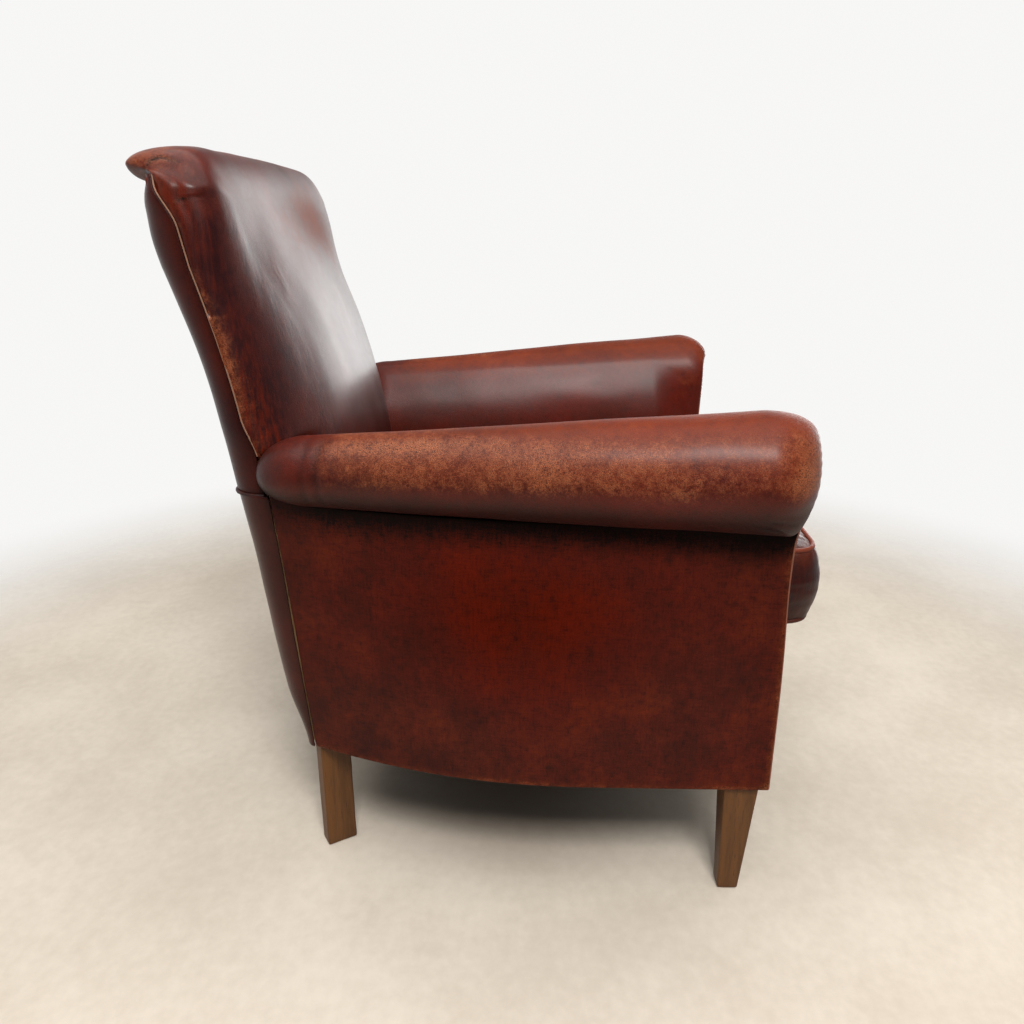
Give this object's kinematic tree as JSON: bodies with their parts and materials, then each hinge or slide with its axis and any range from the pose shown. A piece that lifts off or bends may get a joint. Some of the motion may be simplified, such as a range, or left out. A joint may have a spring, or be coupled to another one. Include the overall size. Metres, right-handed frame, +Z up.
{
  "type": "club chair",
  "caption": "Worn leather club chair with rolled arms that taper to the back, a raked back with a rolled crest, a loose boxed seat cushion with piping, and tapered wooden legs.",
  "frame": {"origin": "on the floor, under the middle of the chair's bounding box", "axes": "+Z up, front of the seat towards -Y, the sitter's left towards +X"},
  "size_m": [0.75, 0.785, 0.885],
  "materials": {
    "leather": "aged oxblood and chestnut hide, semi-gloss, rubbed to tan on the arms and edges",
    "leg_wood": "brown stained beech, worn satin varnish",
    "frame_wood": "plain sawn beech",
    "steel": "drawn spring wire and bolts",
    "foam": "upholstery foam",
    "wadding": "fibre wadding over foam",
    "jute": "woven jute webbing and hessian",
    "black_cloth": "thin black lining cloth",
    "felt": "pressed felt"
  },
  "bodies": {
    "root": {"front_leg_left": "leg_wood", "back_leg_left": "leg_wood", "front_glide_left": "felt", "back_glide_left": "felt", "front_leg_bolt_left": "steel", "back_leg_bolt_left": "steel", "arm_stump_left": "frame_wood", "back_post_left": "frame_wood", "side_rail_left": "frame_wood", "arm_board_left": "frame_wood", "arm_tack_rail_left": "frame_wood", "front_glue_block_left": "frame_wood", "back_glue_block_left": "frame_wood", "arm_pad_left": "wadding", "arm_cover_left": "leather", "arm_front_left": "leather", "outside_arm_left": "leather", "back_welt_left": "leather", "front_leg_right": "leg_wood", "back_leg_right": "leg_wood", "front_glide_right": "felt", "back_glide_right": "felt", "front_leg_bolt_right": "steel", "back_leg_bolt_right": "steel", "arm_stump_right": "frame_wood", "back_post_right": "frame_wood", "side_rail_right": "frame_wood", "arm_board_right": "frame_wood", "arm_tack_rail_right": "frame_wood", "front_glue_block_right": "frame_wood", "back_glue_block_right": "frame_wood", "arm_pad_right": "wadding", "arm_cover_right": "leather", "arm_front_right": "leather", "outside_arm_right": "leather", "back_welt_right": "leather", "front_rail": "frame_wood", "back_rail": "frame_wood", "back_tack_rail": "frame_wood", "crest_rail": "frame_wood", "seat_spring_1": "steel", "seat_spring_2": "steel", "seat_spring_3": "steel", "seat_spring_4": "steel", "seat_spring_5": "steel", "back_webbing_1": "jute", "back_webbing_2": "jute", "back_webbing_3": "jute", "seat_deck": "jute", "front_edge_pad": "foam", "dust_cover": "black_cloth", "back_pad": "foam", "inside_back_cover": "leather", "outside_back_upper": "leather", "outside_back_lower": "leather", "front_border": "leather", "cushion_core": "foam", "cushion_cover": "leather", "cushion_piping_top": "leather", "cushion_piping_bottom": "leather"}
  },
  "joints": []
}
